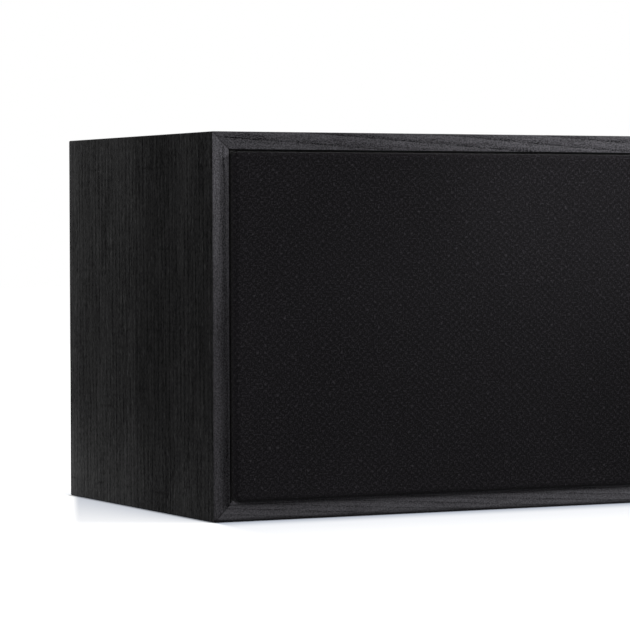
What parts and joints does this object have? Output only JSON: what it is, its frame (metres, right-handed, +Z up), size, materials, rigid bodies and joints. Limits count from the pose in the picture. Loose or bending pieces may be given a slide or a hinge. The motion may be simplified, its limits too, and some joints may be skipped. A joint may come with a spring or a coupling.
{
  "type": "center channel speaker",
  "caption": "Low, wide loudspeaker cabinet in black wood veneer with a black cloth grille nested in its mitred front frame; cone and dome drivers behind it, port and binding posts at the rear.",
  "frame": {"origin": "on the floor, under the middle of the whole loudspeaker with its grille on", "axes": "+X along the width, -Y towards the listener, +Z up"},
  "size_m": [0.5, 0.198, 0.2],
  "materials": {
    "black_ash": "black stained open-grain ash veneer, satin",
    "black_board": "matt black painted fibreboard",
    "raw_board": "bare fibreboard",
    "foam": "open-cell foam",
    "grille_cloth": "black acoustically open knit, stretched",
    "black_plastic": "fine-textured black moulding",
    "rubber": "matt black rubber",
    "basket_paint": "black powder coat",
    "cone_paper": "coated black pulp",
    "spider_cloth": "resin-stiffened cotton",
    "steel": "plated steel",
    "ferrite": "sintered ferrite",
    "copper": "enamelled copper wire",
    "dome_textile": "coated black textile",
    "black_screw": "black oxide",
    "brass": "gold-plated brass",
    "red_plastic": "clear-coated red moulding",
    "black_gloss": "gloss black moulding",
    "circuit_board": "solder-masked laminate",
    "white_plastic": "natural nylon",
    "capacitor_film": "wrapped film",
    "ceramic": "cast ceramic"
  },
  "bodies": {
    "cabinet": {"top_panel": "black_ash", "bottom_panel": "black_ash", "left_panel": "black_ash", "right_panel": "black_ash", "front_baffle": "black_board", "rear_panel": "black_board", "left_brace": "raw_board", "right_brace": "raw_board", "left_damping_pad": "foam", "right_damping_pad": "foam", "grille_sockets": "rubber", "tweeter_faceplate": "black_plastic", "tweeter_dome": "dome_textile", "tweeter_voice_coil": "copper", "tweeter_top_plate": "steel", "tweeter_magnet": "ferrite", "tweeter_pole_yoke": "steel", "tweeter_screws": "black_screw", "terminal_cup_screws": "black_screw", "port_tube": "black_plastic", "terminal_cup": "black_plastic", "positive_post": "brass", "negative_post": "brass", "post_nuts": "brass", "crossover_board": "circuit_board", "crossover_standoffs": "white_plastic", "crossover_inductors": "copper", "crossover_capacitors": "capacitor_film", "crossover_resistors": "ceramic", "left_woofer_basket": "basket_paint", "left_woofer_gasket": "rubber", "left_woofer_surround": "rubber", "left_woofer_spider": "spider_cloth", "left_woofer_top_plate": "steel", "left_woofer_magnet": "ferrite", "left_woofer_pole_yoke": "steel", "left_woofer_screws": "black_screw", "right_woofer_basket": "basket_paint", "right_woofer_gasket": "rubber", "right_woofer_surround": "rubber", "right_woofer_spider": "spider_cloth", "right_woofer_top_plate": "steel", "right_woofer_magnet": "ferrite", "right_woofer_pole_yoke": "steel", "right_woofer_screws": "black_screw"},
    "grille": {"grille_frame": "black_board", "grille_cloth": "grille_cloth", "grille_pegs": "black_plastic"},
    "left_diaphragm": {"left_woofer_cone": "cone_paper", "left_woofer_dust_cap": "cone_paper", "left_woofer_voice_coil": "copper"},
    "right_diaphragm": {"right_woofer_cone": "cone_paper", "right_woofer_dust_cap": "cone_paper", "right_woofer_voice_coil": "copper"},
    "positive_cap": {"positive_post_cap": "red_plastic"},
    "negative_cap": {"negative_post_cap": "black_gloss"}
  },
  "joints": [
    {"name": "grille_pull", "type": "slide", "parent": "cabinet", "child": "grille", "axis": [0, -1, 0], "range_m": [0, 0.06]},
    {"name": "left_woofer_travel", "type": "slide", "parent": "cabinet", "child": "left_diaphragm", "axis": [0, -1, 0], "range_m": [-0.003, 0.003], "stiffness_N_per_m": 1500, "deforming": ["left_woofer_surround", "left_woofer_spider"]},
    {"name": "right_woofer_travel", "type": "slide", "parent": "cabinet", "child": "right_diaphragm", "axis": [0, -1, 0], "range_m": [-0.003, 0.003], "stiffness_N_per_m": 1500, "deforming": ["right_woofer_surround", "right_woofer_spider"]},
    {"name": "positive_cap_turn", "type": "hinge", "parent": "cabinet", "child": "positive_cap", "pos_m": [0.019, 0.09, 0.1], "axis": [0, 1, 0], "range_deg": [0, 1260]},
    {"name": "negative_cap_turn", "type": "hinge", "parent": "cabinet", "child": "negative_cap", "pos_m": [-0.019, 0.09, 0.1], "axis": [0, 1, 0], "range_deg": [0, 1260]}
  ]
}
